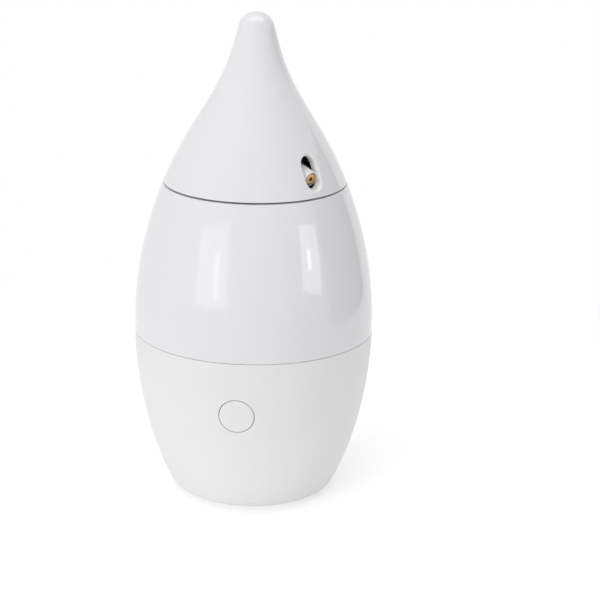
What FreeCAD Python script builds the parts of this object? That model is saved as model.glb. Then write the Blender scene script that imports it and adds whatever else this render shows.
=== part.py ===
import FreeCAD, Part
import math
import os

V = FreeCAD.Vector

# Automatic cat laser toy. Millimetres, +Z up, origin at the centre of the resting face, front faces -Y.
# The lower base and the middle shell stand still. The teardrop head turns on the body and carries two
# laser pointers that tilt in their slots.

# ---- outer form ----
# Stations of the teardrop: height and radius, read up the side.
STATIONS = [(4.2, 36.9), (20.0, 43.5), (45.0, 49.85), (77.0, 52.5), (107.0, 49.55), (137.0, 40.8),
            (155.0, 32.5), (173.0, 21.75), (191.0, 12.5), (207.0, 7.68)]
foot_lean = 26.8          # degrees from vertical where the side meets the bottom corner
tip_lean = 15.0           # degrees from vertical where the side meets the tip
tip_height = 5.93         # from the last station to the tip
tip_fullness = 0.62       # how far the side runs on into the tip, as a share of the tip's height
tip_breadth = 0.52        # how far the level top runs out, as a share of the tip's radius
wall = 2.2                # shells
foot_proud = 0.8          # the feet lift the shell by this much
base_top_z = 73.32
seam_gap = 0.2
body_top_z = 138.98
head_gap = 0.76           # dark line between the body and the turning head
edge_round = 0.3

# ---- laser slots and pointers ----
slot_azimuth = 50.45      # degrees from the front towards +X
slot_low_z = 142.8
slot_high_z = 156.0
slot_width = 7.5
slot_wall = 1.0
slot_depth = 3.8          # length of the collar inwards
slot_round = 1.5
pivot_r = 16.8            # from the head's axis to each tilt pin
pivot_z = 152.34
rest_tilt = 17.6          # degrees below the horizon
sleeve_r = 3.35
sleeve_bore_r = 2.85
face_reach = 18.55        # from the tilt pin to the pointer's face
barrel_r = 2.4
barrel_length = 10.5
aperture_r = 0.95
aperture_depth = 1.0
lens_r = 1.9
lens_thick = 1.0
chamber_depth = 5.0
diode_r = 1.6
diode_length = 1.6
tilt_pin_r = 1.0
pin_end = 0.3             # the pins stand this far out of the frame's ears
running_clearance = 0.05
hub_r = 3.4
side_play = 0.25          # between the hub and each of the frame's ears
sleeve_round = 0.2
wire_hole_r = 0.9
wire_hole_depth = 3.4
ring_inset = 0.15         # the black ring sits this far behind the brass face
diode_flange = 0.4

# ---- gears ----
module_coarse = 0.8
module_fine = 0.6
pressure_angle = 25.0
addendum = 0.8            # stub teeth, in modules
dedendum = 1.05
backlash = 0.08           # thinning of each tooth
pan_teeth = 60
idler_small_teeth = 12
idler_large_teeth = 40
motor_teeth = 10
sector_teeth = 42
tilt_teeth = 10
sector_top = 98.0         # toothed stretch of the driven sector, degrees from the slot's own direction
sector_bottom = 191.0
follower_top = 155.0      # the driven side has teeth only near the meeting line
idler_azimuth = 120.0     # degrees from +X
motor_azimuth = 90.0

# ---- body interior ----
top_plate_low = 133.4
top_plate_high = 136.0
gear_plate_low = 117.0
gear_plate_thick = 2.0
gear_plate_r = 39.5
lead_window_r = 4.0       # window that the leads pass through
lead_window_circle = 24.4
lead_window_angle = 215.0 # degrees from +X
post_circle_r = 35.0
post_r = 3.0
spindle_r = 6.0
spindle_bore_r = 3.2
spindle_low_z = 120.6
spindle_flat = 4.9
bush_r = 8.5
bush_flange_r = 10.5
bush_low_z = 130.4
thrust_gap = 0.05
pan_gear_low = 126.0
pan_gear_high = 130.1
pan_boss_r = 9.0
pan_hole_count = 6
pan_hole_circle = 16.0
pan_hole_r = 3.4
slip_disc_low = 121.9
slip_disc_thick = 1.2
slip_disc_r = 14.0
slip_ring_radii = [8.9, 10.7, 12.5]
slip_ring_width = 1.0
slip_ring_thick = 0.15
clip_groove_r = 5.2
clip_r = 7.6
clip_thick = 0.6
clip_mouth = 2.4          # half the opening of the clip
brush_near = 17.0         # from the axis to the brush block
brush_far = 24.0
brush_half = 6.5
brush_block_thick = 1.4
brush_pitch = 4.0
brush_width = 1.4
brush_thick = 0.25
brush_tip = 0.8
brush_gap = 0.05
idler_wheel_low = 121.5
idler_wheel_thick = 3.5
idler_pinion_high = 130.5
idler_boss_r = 2.8
idler_pin_r = 1.5
idler_pin_high = 131.5
motor_r = 10.0
motor_length = 25.0
motor_cap_length = 3.0
motor_shaft_r = 1.0
shaft_end = 0.4           # a shaft shows this much past its pinion
motor_flat_share = 0.78   # half the can's width across its flats, in can radii
motor_boss_r = 3.0
motor_boss_height = 1.4
motor_boss_room = 0.2
motor_tail_r = 3.5
motor_tail_height = 1.5
motor_pinion_low = 121.0
motor_pinion_high = 125.4
motor_screw_offset = 6.5

# ---- turntable and head ----
disc_low_z = 140.1
disc_thick = 1.7
disc_r = 36.1
head_boss_r = 2.8
head_boss_circle = 29.5
head_boss_angle = 50.0    # degrees from the slots' plane
head_boss_low = 144.0
head_boss_high = 160.0
pad_r = 4.0
frame_edge = 4.0          # from each frame screw to the frame's end
frame_screw_room = 2.8    # from each ear to the frame screw beside it
frame_half_v = 12.0
frame_corner = 3.0
frame_plate_thick = 1.6
frame_side = 2.4          # from each frame screw to the frame's side
frame_boss_r = 2.6
frame_boss_height = 2.6
head_seat_depth = 1.9     # the head screws' heads sit this deep in the turntable
head_board_v = 21.0
head_board_half_u = 13.0
head_board_half_v = 6.0
head_board_screw_u = 10.0
head_board_thick = 1.2
head_board_standoff = 1.6
head_board_boss_r = 2.2
head_board_bite = 1.4
driver_half_u = 3.0
driver_half_v = 2.2
driver_v = 19.2
driver_height = 1.4
driver_pitch = 1.5
socket_half_u = 5.0
socket_half_v = 1.8
socket_v = 24.8
socket_height = 5.0
near_cheek = 5.4          # inner face of the cheek on the tower's side
far_cheek = 7.6           # inner face of the cheek on the sectors' side
cheek_thick = 2.0
lug_r = 3.4
sector_low_v = 4.2
sector_thick = 2.6
tilt_motor_step = 7       # sector teeth between the meeting line and the tilt motor
tilt_motor_r = 4.0
tilt_motor_round = 0.5
tilt_bore_depth = 5.0
tilt_motor_front = 3.4
tilt_motor_length = 16.0
tilt_shaft_r = 0.75
tower_half = 5.2

# ---- base interior ----
floor_thick = 2.2
door_r = 20.2
door_gap = 0.2
door_seat = 1.2           # plastic left under the door screw's head
grip_half = 6.0           # finger grip in the door
grip_inset = 2.5
grip_width = 2.5
grip_depth = 0.7
column_circle = 26.2
column_r = 4.2
column_web = 10.0         # plastic that each housing screw clamps
column_bore_r = 3.0
foot_r = 4.0
foot_recess = 1.6
foot_clearance = 0.05
leg_r = 3.6
ring_plate_thick = 2.4
ring_plate_half = 24.0
ring_plate_hole = 11.0
ring_plate_corner = 6.0
cell_r = 7.15
cell_length = 49.2
cell_round = 0.6
nipple_r = 2.75
nipple_length = 1.0
cell_offset = 8.0
cell_bore_r = 7.45
holder_wall = 1.3
holder_roof_thick = 4.0
holder_flange_r = 21.6
holder_flange_thick = 2.0
contact_thick = 0.3
contact_half_width = 3.0
contact_overhang = 3.0    # each plate runs this far past its cells' centres
contact_room = 0.2
lead_hole_r = 1.6
tab_r = 5.0
dome_low_r = 2.6
dome_high_r = 1.6
low_spring_height = 4.0
dome_height = 0.9
spring_wire_r = 0.35
spring_wire_sides = 12
spring_turns = 3.0
spring_r = 3.6
tongue_thick = 1.2
tongue_height = 3.6
tongue_clearance = 0.12
tongue_root = 1.0         # the tongue leaves the wall this far below the seam

# ---- power button and board ----
button_z = 49.25
button_r = 7.45
button_gap = 0.25
button_travel = 0.6
guide_wall = 1.4
guide_end = 42.9          # distance of the guide's inner end from the axis
button_flange_r = 8.9
button_flange_thick = 1.0
button_stem_r = 2.2
button_wall = 1.6
button_hollow = 3.1       # depth of the hollow behind the button's face
button_stop_gap = 0.1
stem_end = 40.0
board_front = 34.6
board_thick = 1.6
board_half_x = 20.0
board_low_z = 38.0
board_high_z = 61.0
board_screw_x = 16.0
board_boss_r = 2.8
board_bite = 5.4
board_corner = 1.5
switch_half = 3.0
switch_depth = 3.6
switch_round = 0.4
switch_floor = 0.5
plunger_r = 1.7
plunger_room = 0.08
plunger_length = 3.4
chip_x = 10.0
chip_z = 44.5
chip_half = 3.0
chip_thick = 1.6
chip_pitch = 1.3
pad_width = 0.5
pad_reach = 0.9
capacitor_r = 2.6
capacitor_length = 6.5
capacitor_pitch = 8.0
capacitor_z = 44.0
header_offset = 6.5
header_half_x = 3.5
header_half_z = 2.5
header_depth = 5.0
header_wall = 0.8
header_z = 55.5

# ---- screws ----
screw_thread_r = 1.5
screw_head_r = 2.7
small_thread_r = 1.1
small_head_r = 2.1
door_head_r = 2.2
motor_head_r = 1.7
clearance_hole = 0.15     # radial room of a screw in its hole
head_share = 0.6          # height of a screw's head, in head radii
recess_half = 0.25        # half the width of each arm of a cross recess
housing_bite = 8.0        # length of thread in each moulding
post_bite = 6.0
head_bite = 6.0
door_bite = 10.8
motor_bite = 2.4
frame_bite = 3.4
pilot_extra = 1.0         # each pilot hole runs this much past its screw
over = 1.0                # how far a cutting tool runs past what it cuts
far_out = 60.0            # outside the form, for tools that reach in from the front
snug = 0.02               # between parts that are pushed together

# Values that follow from the sizes above.
axis_z = V(0, 0, 1)
floor_top = foot_proud + floor_thick
head_low_z = body_top_z + head_gap
gear_plate_high = gear_plate_low + gear_plate_thick
tip_z = STATIONS[-1][0] + tip_height
stack_top = floor_top + contact_thick + low_spring_height + cell_length + nipple_length
holder_roof_low = stack_top + contact_thick + contact_room
column_top = holder_roof_low + holder_roof_thick
column_step = column_top - column_web
frame_screw_u = pivot_r + lug_r + frame_screw_room
frame_half_u = frame_screw_u + frame_edge
frame_screw_v = frame_half_v - frame_side
tilt_module = 2.0 * pivot_r / sector_teeth
disc_high = disc_low_z + disc_thick
frame_top = disc_high + frame_plate_thick
head_seat = disc_low_z + head_seat_depth
board_low_h = disc_high + head_board_standoff
board_high_h = board_low_h + head_board_thick
slot_turn = slot_azimuth - 90.0
motor_low_z = gear_plate_low - motor_length


def save(shape, node):
    shape.exportStep("parts/" + node + ".step")


# ---------------------------------------------------------------- helpers for shapes

def rod(radius, low, high, x=0.0, y=0.0):
    """Upright cylinder between two heights."""
    return Part.makeCylinder(radius, high - low, V(x, y, low), axis_z)


def rod_y(radius, near, far, x, z):
    """Cylinder along Y between two values of y."""
    return Part.makeCylinder(radius, far - near, V(x, near, z), V(0, 1, 0))


def tube(outer, inner, low, high, x=0.0, y=0.0):
    return rod(outer, low, high, x, y).cut(rod(inner, low, high, x, y))


def block(x0, x1, y0, y1, z0, z1):
    return Part.makeBox(x1 - x0, y1 - y0, z1 - z0, V(x0, y0, z0))


def around(radius, angle):
    """Point on a circle about the axis, angle in degrees from +X."""
    return radius * math.cos(math.radians(angle)), radius * math.sin(math.radians(angle))


def corners(half_x, half_y):
    return [(half_x, half_y), (-half_x, half_y), (-half_x, -half_y), (half_x, -half_y)]


def fuse(shapes):
    result = shapes[0].fuse(shapes[1:])
    return result.removeSplitter()


def cut_all(shape, tools):
    for tool in tools:
        shape = shape.cut(tool)
    return shape


def round_edges(shape, radius, wanted):
    """Fillet the edges that a test picks out."""
    edges = [edge for edge in shape.Edges if wanted(edge)]
    return shape.makeFillet(radius, edges)


def upright(edge):
    """True for straight edges along Z."""
    box = edge.BoundBox
    return box.ZLength > 0.1 and box.XLength < 0.01 and box.YLength < 0.01


def along_y(edge):
    """True for straight edges along Y."""
    box = edge.BoundBox
    return box.YLength > 0.1 and box.XLength < 0.01 and box.ZLength < 0.01


def flat(edge):
    """True for edges that lie level."""
    return edge.BoundBox.ZLength < 0.01


def screw_down(thread, head, seat, length, x, y):
    """Screw whose head sits above the seat and whose shank goes down."""
    shank = rod(thread, seat - length, seat, x, y)
    top = seat + head * head_share
    arm = head * head_share
    cap = rod(head, seat, top, x, y)
    cap = round_edges(cap, arm / 2.4, lambda edge: edge.BoundBox.ZMin > top - 0.1)
    recess = block(x - arm, x + arm, y - recess_half, y + recess_half, top - arm / 2.4, top + over)
    return shank.fuse(cap).cut(recess).cut(recess_turned(recess, x, y))


def recess_turned(recess, x, y):
    """Second arm of a cross recess."""
    second = recess.copy()
    second.rotate(V(x, y, 0), axis_z, 90)
    return second


def screw_up(thread, head, seat, length, x, y):
    """The same screw driven from below."""
    screw = screw_down(thread, head, 0.0, length, x, y)
    screw.rotate(V(x, y, 0), V(1, 0, 0), 180)
    screw.translate(V(0, 0, seat))
    return screw


def to_slots(shape):
    """Turn a shape drawn in the slots' own frame (slot along +X) into place."""
    turned = shape.copy()
    turned.rotate(V(0, 0, 0), axis_z, slot_turn)
    return turned


def mirrored(shape):
    """The opposite pointer's copy of a shape, both drawn in the slots' frame."""
    return shape.mirror(V(0, 0, 0), V(1, 0, 0))


# ---------------------------------------------------------------- outer form

def side_curve(inset):
    """Spline of the side, moved inwards by the inset along its normals."""
    points = []
    for z, r in STATIONS:
        points.append(V(r, 0, z))
    low = V(math.sin(math.radians(foot_lean)), 0, math.cos(math.radians(foot_lean)))
    high = V(-math.sin(math.radians(tip_lean)), 0, math.cos(math.radians(tip_lean)))
    curve = Part.BSplineCurve()
    curve.interpolate(Points=points, InitialTangent=low, FinalTangent=high)
    if inset == 0.0:
        return curve
    moved = []
    for point in points:
        direction = curve.tangent(curve.parameter(point))[0]
        moved.append(V(point.x - direction.z * inset, 0, point.z + direction.x * inset))
    inner = Part.BSplineCurve()
    inner.interpolate(Points=moved, InitialTangent=low, FinalTangent=high)
    return inner


def teardrop(inset, bottom):
    """Solid of the whole form, moved inwards by the inset, with its flat bottom at a height."""
    curve = side_curve(inset)
    low = curve.value(curve.FirstParameter)
    high = curve.value(curve.LastParameter)
    lean = math.radians(foot_lean)
    corner_r = (low.z - bottom) / (1.0 - math.sin(lean))
    centre = V(low.x - corner_r * math.cos(lean), 0, low.z + corner_r * math.sin(lean))
    half = (math.radians(-90.0) - lean) / 2.0
    corner_mid = centre + V(corner_r * math.cos(half), 0, corner_r * math.sin(half))
    corner = Part.Arc(V(centre.x, 0, bottom), corner_mid, low)
    top = tip_z - inset
    tip = tip_curve(high, top)
    floor = Part.LineSegment(V(0, 0, bottom), V(centre.x, 0, bottom))
    axis = Part.LineSegment(V(0, 0, top), V(0, 0, bottom))
    edges = [floor.toShape(), corner.toShape(), curve.toShape(), tip.toShape(), axis.toShape()]
    return Part.Face(Part.Wire(edges)).revolve(V(0, 0, 0), axis_z, 360)


def tip_curve(start, top):
    """Rounded tip: a quarter of a smooth curve, tangent to the side and level at the axis."""
    lean = math.radians(tip_lean)
    reach = (top - start.z) * tip_fullness
    handle = V(start.x - math.sin(lean) * reach, 0, start.z + math.cos(lean) * reach)
    level = V(start.x * tip_breadth, 0, top)
    curve = Part.BezierCurve()
    curve.setPoles([start, handle, level, V(0, 0, top)])
    return curve


def slab(low, high):
    """Flat slice of space wider than the object."""
    return rod(far_out, low, high)


outer_form = teardrop(0.0, foot_proud)
inner_form = teardrop(wall, floor_top)


def side_radius(height, inset):
    """Radius of the side at a height."""
    curve = side_curve(inset)
    low = curve.FirstParameter
    high = curve.LastParameter
    for step in range(40):
        middle = (low + high) / 2.0
        if curve.value(middle).z < height:
            low = middle
        else:
            high = middle
    return curve.value(low).x


# ---------------------------------------------------------------- gears

def involute_point(base_r, radius, turn):
    """Point of an involute at a radius, turned about the axis by an angle in radians."""
    ratio = max(radius / base_r, 1.0)
    roll = math.sqrt(ratio * ratio - 1.0)
    angle = roll - math.atan(roll) + turn
    return V(radius * math.cos(angle), radius * math.sin(angle), 0)


def mirrored_in(point, angle):
    """Point mirrored in the ray at an angle, in radians."""
    own = math.atan2(point.y, point.x)
    radius = math.hypot(point.x, point.y)
    other = 2.0 * angle - own
    return V(radius * math.cos(other), radius * math.sin(other), 0)


def arc_of(radius, start, end):
    """Arc about the axis between two points."""
    first = math.atan2(start.y, start.x)
    span = (math.atan2(end.y, end.x) - first) % (2.0 * math.pi)
    middle = first + span / 2.0
    return Part.Arc(start, V(radius * math.cos(middle), radius * math.sin(middle), 0), end).toShape()


def tooth_edges(module, teeth, angle):
    """Edges of one tooth centred on an angle, and its first and last root points."""
    pitch_r = module * teeth / 2.0
    base_r = pitch_r * math.cos(math.radians(pressure_angle))
    tip_r = pitch_r + addendum * module
    root_r = pitch_r - dedendum * module
    roll = math.tan(math.radians(pressure_angle))
    half = (math.pi * module / 2.0 - backlash) / (2.0 * pitch_r)
    turn = angle - half - (roll - math.radians(pressure_angle))
    start_r = max(base_r, root_r)
    points = [involute_point(base_r, r, turn) for r in (start_r, (start_r + tip_r) / 2.0, tip_r)]
    others = [mirrored_in(point, angle) for point in points]
    edges = []
    first = points[0]
    last = others[0]
    if base_r > root_r:
        first = V(points[0]).multiply(root_r / start_r)
        last = V(others[0]).multiply(root_r / start_r)
        edges.append(Part.makeLine(first, points[0]))
    edges.append(Part.Arc(points[0], points[1], points[2]).toShape())
    edges.append(arc_of(tip_r, points[2], others[2]))
    edges.append(Part.Arc(others[2], others[1], others[0]).toShape())
    if base_r > root_r:
        edges.append(Part.makeLine(others[0], last))
    return edges, first, last


def gear(module, teeth, thick, phase):
    """Spur gear on the origin with one tooth centred on the phase, in degrees."""
    root_r = module * teeth / 2.0 - dedendum * module
    edges = []
    ends = []
    for index in range(teeth):
        angle = math.radians(phase + 360.0 * index / teeth)
        own, first, last = tooth_edges(module, teeth, angle)
        if ends:
            edges.append(arc_of(root_r, ends[-1], first))
        else:
            opening = first
        edges.extend(own)
        ends.append(last)
    edges.append(arc_of(root_r, ends[-1], opening))
    return Part.Face(Part.Wire(edges)).extrude(V(0, 0, thick))


def sector(module, teeth, thick, phase, low, high):
    """Sector of a spur gear between two angles, in degrees, joined at its centre."""
    wheel = gear(module, teeth, thick, phase)
    far = module * teeth
    middle = math.radians((low + high) / 2.0)
    start = V(far * math.cos(math.radians(low)), far * math.sin(math.radians(low)), 0)
    end = V(far * math.cos(math.radians(high)), far * math.sin(math.radians(high)), 0)
    arc = Part.Arc(start, V(far * math.cos(middle), far * math.sin(middle), 0), end).toShape()
    edges = [Part.makeLine(V(0, 0, 0), start), arc, Part.makeLine(end, V(0, 0, 0))]
    return wheel.common(Part.Face(Part.Wire(edges)).extrude(V(0, 0, thick)))


# ---------------------------------------------------------------- base

def columns(radius, low, high):
    x = column_circle / math.sqrt(2.0)
    return [rod(radius, low, high, cx, cy) for cx, cy in corners(x, x)]


def base_tongue():
    """Ring inside the seam that the middle shell slips over."""
    outer = side_radius(base_top_z, wall) - tongue_clearance
    root = base_top_z - tongue_root
    low = tube(outer + wall / 2.0, outer - tongue_thick, base_top_z - 2.0 * tongue_height, root)
    high = tube(outer, outer - tongue_thick, root - tongue_root, base_top_z + tongue_height)
    return low.common(outer_form).fuse(high)


def base_housing():
    shell = outer_form.cut(inner_form).common(slab(0.0, base_top_z))
    posts = [post.common(outer_form) for post in columns(column_r, foot_proud, column_top)]
    guide_r = button_r + button_gap + guide_wall
    guide = rod_y(guide_r, -far_out, -guide_end, 0, button_z).common(outer_form)
    bosses = []
    for x in (-board_screw_x, board_screw_x):
        boss = rod_y(board_boss_r, -far_out, -board_front, x, button_z)
        bosses.append(boss.common(outer_form))
    body = fuse([shell, base_tongue(), guide] + posts + bosses)
    cuts = columns(column_bore_r, 0.0, column_step)
    cuts += columns(screw_thread_r + clearance_hole, 0.0, column_top + over)
    cuts += columns(foot_r + foot_clearance, 0.0, foot_proud + foot_recess)
    cuts.append(rod(door_r + door_gap, 0.0, floor_top))
    cuts.append(rod_y(button_r + button_gap, -far_out, -guide_end + over, 0, button_z))
    for x in (-board_screw_x, board_screw_x):
        pilot = board_bite + pilot_extra
        cuts.append(rod_y(small_thread_r, -board_front - pilot, -board_front + over, x, button_z))
    return cut_all(body, cuts)


def rubber_feet():
    feet = []
    for foot in columns(foot_r, 0.0, foot_proud + foot_recess):
        feet.append(round_edges(foot, edge_round, lambda edge: edge.BoundBox.ZMax < 0.1))
    return Part.makeCompound(feet)


def housing_screws():
    x = column_circle / math.sqrt(2.0)
    length = column_top - column_step + housing_bite
    screws = []
    for cx, cy in corners(x, x):
        screws.append(screw_up(screw_thread_r, screw_head_r, column_step, length, cx, cy))
    return Part.makeCompound(screws)


def battery_door():
    disc = rod(door_r, foot_proud, floor_top)
    disc = disc.cut(rod(door_head_r + clearance_hole, 0.0, floor_top - door_seat))
    disc = disc.cut(rod(screw_thread_r + clearance_hole, 0.0, floor_top))
    near = -door_r + grip_inset
    grip = block(-grip_half, grip_half, near, near + grip_width, 0.0, foot_proud + grip_depth)
    return disc.cut(round_edges(grip, grip_depth, lambda edge: edge.BoundBox.ZLength > 1.0))


def door_screw():
    return screw_up(screw_thread_r, door_head_r, floor_top - door_seat, door_seat + door_bite, 0, 0)


def battery_holder():
    """Black moulding with four upright bores, a foot flange and a roof."""
    half = cell_offset + cell_bore_r + holder_wall
    body = block(-half, half, -half, half, floor_top, column_top)
    corner = cell_bore_r + holder_wall
    body = round_edges(body, corner, upright)
    body = fuse([body, rod(holder_flange_r, floor_top, floor_top + holder_flange_thick)])
    cuts = []
    for x, y in corners(cell_offset, cell_offset):
        cuts.append(rod(cell_bore_r, 0.0, holder_roof_low, x, y))
    cuts.append(rod(screw_thread_r, 0.0, floor_top + door_bite + pilot_extra))
    for y in (-cell_offset, cell_offset):
        cuts.append(rod(lead_hole_r, holder_roof_low - over, column_top + over, cell_offset, y))
    half = contact_half_width + contact_room
    for x in (-cell_offset, cell_offset):
        slot = block(x - half, x + half, -cell_offset, cell_offset, 0.0, floor_top + 2.0 * contact_thick)
        cuts.append(slot)
    return cut_all(body, cuts)


def cell_is_up(x, y):
    """Neighbouring cells point opposite ways, as they do in series."""
    return x * y > 0


def cell_low(x, y):
    if cell_is_up(x, y):
        return floor_top + contact_thick + low_spring_height
    return floor_top + contact_thick + dome_height + nipple_length


def batteries():
    cells = []
    for x, y in corners(cell_offset, cell_offset):
        low = cell_low(x, y)
        can = rod(cell_r, low, low + cell_length, x, y)
        can = round_edges(can, cell_round, flat)
        if cell_is_up(x, y):
            nipple = rod(nipple_r, low + cell_length, low + cell_length + nipple_length, x, y)
        else:
            nipple = rod(nipple_r, low - nipple_length, low, x, y)
        cells.append(can.fuse(nipple))
    return Part.makeCompound(cells)


def door_contacts():
    """Two plates, each bridging two cells, with a pressed dome under the nipple."""
    plates = []
    reach = cell_offset + contact_overhang
    top = floor_top + contact_thick
    for side in (-1.0, 1.0):
        x = side * cell_offset
        plate = block(x - contact_half_width, x + contact_half_width, -reach, reach, floor_top, top)
        dome = Part.makeCone(dome_low_r, dome_high_r, dome_height, V(x, -x, top))
        plates.append(plate.fuse(dome))
    return Part.makeCompound(plates)


def top_contacts():
    """Four terminal tabs pressed against the roof, one in each bore."""
    low = stack_top
    tabs = [rod(tab_r, low, low + contact_thick, x, y) for x, y in corners(cell_offset, cell_offset)]
    return Part.makeCompound(tabs)


def coil(low, height, radius, x, y):
    """Cylindrical contact spring. Its wire has many flats in place of a round section."""
    pitch = (height - 2.0 * spring_wire_r) / spring_turns
    path = Part.makeHelix(pitch, pitch * spring_turns, radius)
    rim = []
    for index in range(spring_wire_sides):
        across, up = around(spring_wire_r, 360.0 * index / spring_wire_sides)
        rim.append(V(radius + across, 0, up))
    section = Part.makePolygon(rim + [rim[0]])
    spring = Part.Wire(path).makePipeShell([section], True, True)
    spring.translate(V(x, y, low + spring_wire_r))
    return spring


def battery_springs():
    springs = []
    for x, y in corners(cell_offset, cell_offset):
        if cell_is_up(x, y):
            low = floor_top + contact_thick
            height = low_spring_height
        else:
            low = cell_low(x, y) + cell_length
            height = stack_top - low
        springs.append(coil(low + snug, height - 2.0 * snug, spring_r, x, y))
    return Part.makeCompound(springs)


# ---------------------------------------------------------------- chassis and board

def chassis():
    """Inner frame: lower ring on the columns, four legs, and the gear plate at their top."""
    half = ring_plate_half
    low = column_top
    ring = block(-half, half, -half, half, low, low + ring_plate_thick)
    ring = round_edges(ring, ring_plate_corner, upright)
    legs = columns(leg_r, low, gear_plate_high)
    plate = rod(gear_plate_r, gear_plate_low, gear_plate_high)
    body = fuse([ring, plate] + legs)
    hole = ring_plate_hole
    cuts = [block(-hole, hole, -hole, hole, low - over, low + ring_plate_thick + over)]
    cuts += columns(screw_thread_r, low - over, low + housing_bite + pilot_extra)
    mx, my = motor_centre()
    cuts.append(plate_hole(motor_boss_r + motor_boss_room, mx, my))
    for dx in (-motor_screw_offset, motor_screw_offset):
        cuts.append(plate_hole(small_thread_r + clearance_hole, mx + dx, my))
    ix, iy = idler_centre()
    cuts.append(plate_hole(idler_pin_r, ix, iy))
    for x, y in post_places():
        cuts.append(plate_hole(small_thread_r + clearance_hole, x, y))
    x, y = around(lead_window_circle, lead_window_angle)
    cuts.append(plate_hole(lead_window_r, x, y))
    return cut_all(body, cuts)


def plate_hole(radius, x, y):
    return rod(radius, gear_plate_low - over, gear_plate_high + over, x, y)


def main_board():
    low = -board_front
    board = block(-board_half_x, board_half_x, low, low + board_thick, board_low_z, board_high_z)
    board = round_edges(board, board_corner, along_y)
    for x in (-board_screw_x, board_screw_x):
        hole_r = small_thread_r + clearance_hole
        board = board.cut(rod_y(hole_r, low - over, low + board_thick + over, x, button_z))
    return board


def board_screws():
    screws = []
    for x in (-board_screw_x, board_screw_x):
        screw = screw_down(small_thread_r, small_head_r, 0.0, board_thick + board_bite, 0, 0)
        screw.rotate(V(0, 0, 0), V(1, 0, 0), -90)
        screw.translate(V(x, -board_front + board_thick, button_z))
        screws.append(screw)
    return Part.makeCompound(screws)


def tact_switch():
    far = -board_front
    near = far - switch_depth
    can = block(-switch_half, switch_half, near, far, button_z - switch_half, button_z + switch_half)
    can = round_edges(can, switch_round, along_y)
    return can.cut(rod_y(plunger_r + plunger_room, near - over, far - switch_floor, 0, button_z))


def switch_plunger():
    return rod_y(plunger_r, -stem_end, -stem_end + plunger_length - button_travel, 0, button_z)


def power_button():
    flange_near = -guide_end + button_stop_gap
    cap = rod_y(button_r, -far_out, flange_near + over / 2.0, 0, button_z).common(outer_form)
    cap = cap.cut(rod_y(button_r - button_wall, flange_near - button_hollow, far_out, 0, button_z))
    flange = rod_y(button_flange_r, flange_near, flange_near + button_flange_thick, 0, button_z)
    stem = rod_y(button_stem_r, flange_near - button_hollow - over, -stem_end, 0, button_z)
    body = fuse([cap, flange, stem])
    front = -side_radius(button_z, 0.0)
    return round_edges(body, edge_round, lambda edge: front_rim(edge, front))


def front_rim(edge, front):
    box = edge.BoundBox
    return box.YMax < front + 2.0 and box.XLength > button_r


def control_chip():
    """Controller with four pads each side, on the front of the board."""
    far = -board_front
    x = chip_x
    z = chip_z
    body = block(x - chip_half, x + chip_half, far - chip_thick, far, z - chip_half, z + chip_half)
    pads = []
    for row in range(4):
        low = z + (row - 1.5) * chip_pitch - pad_width / 2.0
        reach = chip_half + pad_reach
        pads.append(block(x - reach, x + reach, far - pad_width, far, low, low + pad_width))
    return fuse([body] + pads)


def capacitors():
    near = -board_front + board_thick
    cans = []
    for x in (-capacitor_pitch, 0.0, capacitor_pitch):
        can = rod_y(capacitor_r, near, near + capacitor_length, x, capacitor_z)
        cans.append(round_edges(can, edge_round, lambda edge: edge.BoundBox.YMin > near + over))
    return Part.makeCompound(cans)


def connectors():
    """White wire headers on the back of the board."""
    near = -board_front + board_thick
    headers = []
    for x in (-header_offset, header_offset):
        shell = block(x - header_half_x, x + header_half_x, near, near + header_depth,
                      header_z - header_half_z, header_z + header_half_z)
        hx = header_half_x - header_wall
        hz = header_half_z - header_wall
        far = near + header_depth + over
        hollow = block(x - hx, x + hx, near + header_wall, far, header_z - hz, header_z + hz)
        headers.append(shell.cut(hollow))
    return Part.makeCompound(headers)


# ---------------------------------------------------------------- middle shell and pan drive

def post_places():
    return [around(post_circle_r, angle) for angle in (0.0, 90.0, 180.0, 270.0)]


def body_shell():
    low = base_top_z + seam_gap
    shell = outer_form.cut(inner_form).common(slab(low, body_top_z))
    plate = outer_form.common(slab(top_plate_low, top_plate_high))
    posts = [rod(post_r, gear_plate_high, top_plate_low + over, x, y) for x, y in post_places()]
    body = fuse([shell, plate] + posts)
    cuts = [rod(bush_r, top_plate_low - over, top_plate_high + over)]
    for x, y in post_places():
        cuts.append(rod(small_thread_r, gear_plate_low, gear_plate_high + post_bite + pilot_extra, x, y))
    body = cut_all(body, cuts)
    rim = side_radius(body_top_z, 0.0)
    return round_edges(body, edge_round, lambda edge: rim_edge(edge, rim, body_top_z))


def rim_edge(edge, radius, height):
    box = edge.BoundBox
    return abs(box.ZMin - height) < 0.01 and abs(box.ZMax - height) < 0.01 and box.XMax > radius - 0.1


def plate_screws():
    screws = []
    for x, y in post_places():
        length = gear_plate_thick + post_bite
        screws.append(screw_up(small_thread_r, small_head_r, gear_plate_low, length, x, y))
    return Part.makeCompound(screws)


def pan_bush():
    """Plastic bush with the thrust collar that the turntable rides on."""
    sleeve = rod(bush_r, bush_low_z, top_plate_high)
    collar = rod(bush_flange_r, top_plate_high, disc_low_z - thrust_gap)
    body = fuse([sleeve, collar])
    return body.cut(rod(spindle_r + running_clearance, bush_low_z - over, disc_low_z + over))


def idler_centre():
    distance = module_coarse * (pan_teeth + idler_small_teeth) / 2.0
    return around(distance, idler_azimuth)


def motor_centre():
    """On the motor's own azimuth, at the fine gears' centre distance from the idler."""
    ix, iy = idler_centre()
    ux, uy = around(1.0, motor_azimuth)
    gap = module_fine * (idler_large_teeth + motor_teeth) / 2.0
    along = ix * ux + iy * uy
    across = math.hypot(ix - along * ux, iy - along * uy)
    distance = along - math.sqrt(gap * gap - across * across)
    return distance * ux, distance * uy


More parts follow.
